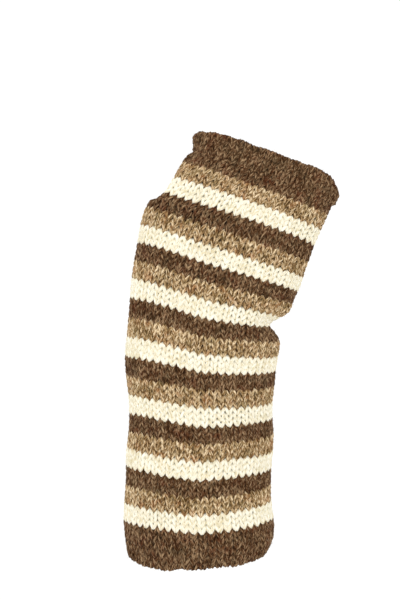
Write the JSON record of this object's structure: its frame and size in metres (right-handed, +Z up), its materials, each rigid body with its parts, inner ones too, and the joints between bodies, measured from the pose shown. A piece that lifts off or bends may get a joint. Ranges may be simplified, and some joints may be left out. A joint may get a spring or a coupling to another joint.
{
  "type": "knitted wool hand warmer",
  "caption": "Long fingerless hand warmer knitted in striped wool, with a thumb slit and doubled hems at both ends, shaped as worn.",
  "frame": {"origin": "middle of the wrist, inside the tube, where the wearer's arm holds it", "axes": "+Z up towards the fingers, +X towards the little finger's side, -Y out of the back of the hand"},
  "size_m": [0.1296, 0.0676, 0.2586],
  "materials": {
    "cream_wool": "undyed cream wool, matt",
    "tan_wool": "light brown marl wool, matt",
    "brown_wool": "dark brown heather wool, matt"
  },
  "bodies": {
    "root": {"striped_sleeve": "cream_wool", "finger_hem": "brown_wool", "arm_hem": "brown_wool"}
  },
  "joints": []
}
